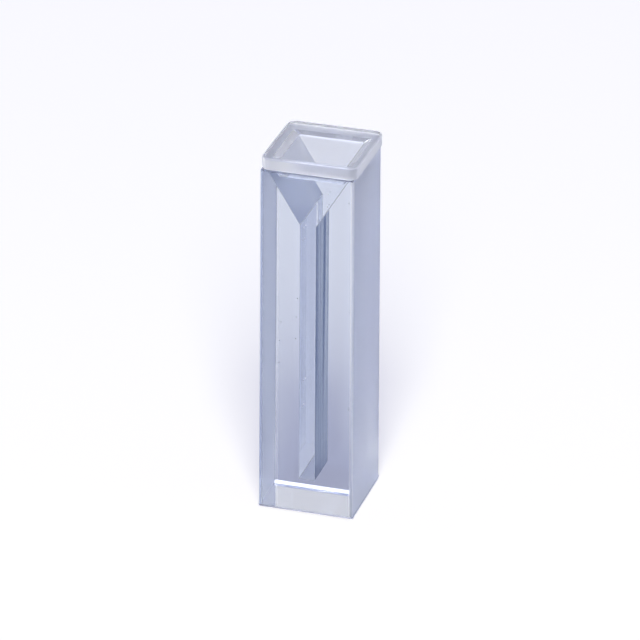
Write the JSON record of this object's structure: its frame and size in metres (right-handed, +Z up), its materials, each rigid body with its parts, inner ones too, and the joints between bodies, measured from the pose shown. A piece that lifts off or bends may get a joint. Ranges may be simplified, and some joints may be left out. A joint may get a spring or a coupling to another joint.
{
  "type": "cuvette",
  "caption": "Square clear plastic cuvette with a narrow sample slot below a hopper mouth, closed by a loose clear lid with a shallow plug.",
  "frame": {"origin": "centre of the flat foot", "axes": "+Z up along the body, Y along the light path through the clear windows, X across the frosted sides"},
  "size_m": [0.0129, 0.0128, 0.0466],
  "materials": {
    "cell_plastic": "clear polystyrene, polished on the two windows and frosted on the two sides",
    "lid_plastic": "clear polystyrene, polished on its top and under its plug, satin round the edges"
  },
  "bodies": {
    "root": {"cell_body": "cell_plastic", "lid": "lid_plastic"}
  },
  "joints": []
}
